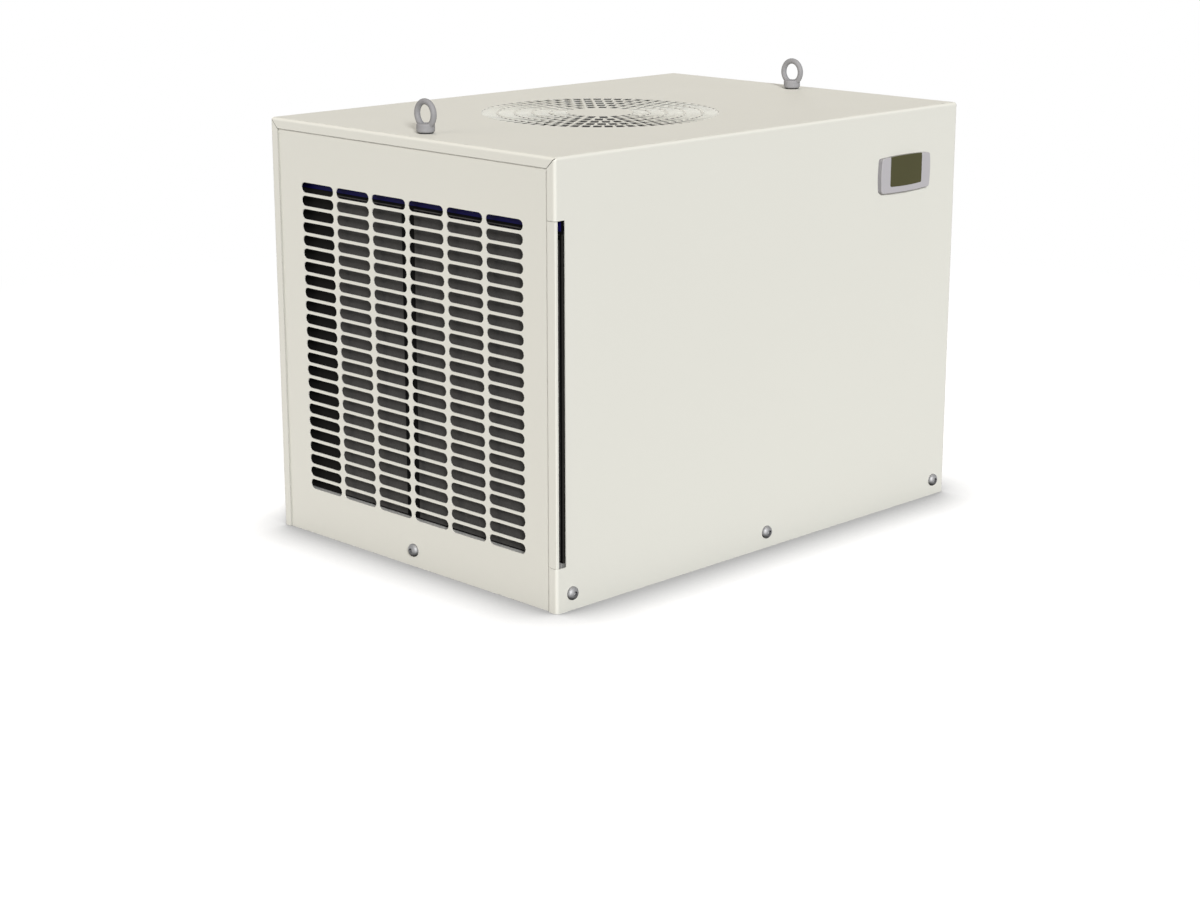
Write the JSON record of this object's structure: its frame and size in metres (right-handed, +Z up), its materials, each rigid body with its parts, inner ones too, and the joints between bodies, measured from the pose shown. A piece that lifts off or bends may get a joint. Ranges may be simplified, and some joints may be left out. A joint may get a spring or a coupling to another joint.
{
  "type": "enclosure roof air conditioner",
  "caption": "Box-shaped air conditioner for the roof of an electrical enclosure, with a louvred side intake, a round roof exhaust grille, lifting eyes and air openings in its base.",
  "frame": {"origin": "centre of the base's underside, where the unit stands on an enclosure's roof", "axes": "+Z up, front with the controller towards -Y, louvred intake towards -X"},
  "size_m": [0.594, 0.4202, 0.4635],
  "materials": {
    "cabinet_paint": "light grey-cream textured powder coat",
    "tray_steel": "light grey-cream powder coat, plain",
    "eye_steel": "forged steel with a grey finish",
    "bezel_plastic": "silver-grey moulded plastic",
    "display_glass": "dark olive display glass, unlit",
    "filter_plastic": "black moulded frame",
    "filter_foam": "charcoal filter mat",
    "rail_steel": "galvanised sheet",
    "rail_blue": "dark navy coat",
    "fan_black": "black coat",
    "wheel_plastic": "black moulded plastic",
    "chamber_foam": "dark insulating foam board",
    "fin_aluminium": "bare aluminium fins",
    "coil_steel": "galvanised sheet"
  },
  "bodies": {
    "root": {"hood": "cabinet_paint", "left_side_panel": "cabinet_paint", "right_side_panel": "cabinet_paint", "base_tray": "tray_steel", "lifting_eyes": "eye_steel", "controller_bezel": "bezel_plastic", "controller_display": "display_glass", "filter_frame": "filter_plastic", "filter_mat_front": "filter_foam", "filter_mat_rear": "filter_foam", "filter_rail_lower": "rail_steel", "filter_rail_upper": "rail_blue", "fan_ring": "fan_black", "fan_bracket": "fan_black", "fan_motor": "fan_black", "fan_rotor": "fan_black", "cold_chamber_cover": "chamber_foam", "inlet_fan_motor": "fan_black", "inlet_fan_wheel": "wheel_plastic", "condenser_fins": "fin_aluminium", "condenser_end_plate_front": "coil_steel", "condenser_end_plate_rear": "coil_steel", "evaporator_fins": "fin_aluminium", "evaporator_end_plate_front": "coil_steel", "evaporator_end_plate_rear": "coil_steel"}
  },
  "joints": []
}
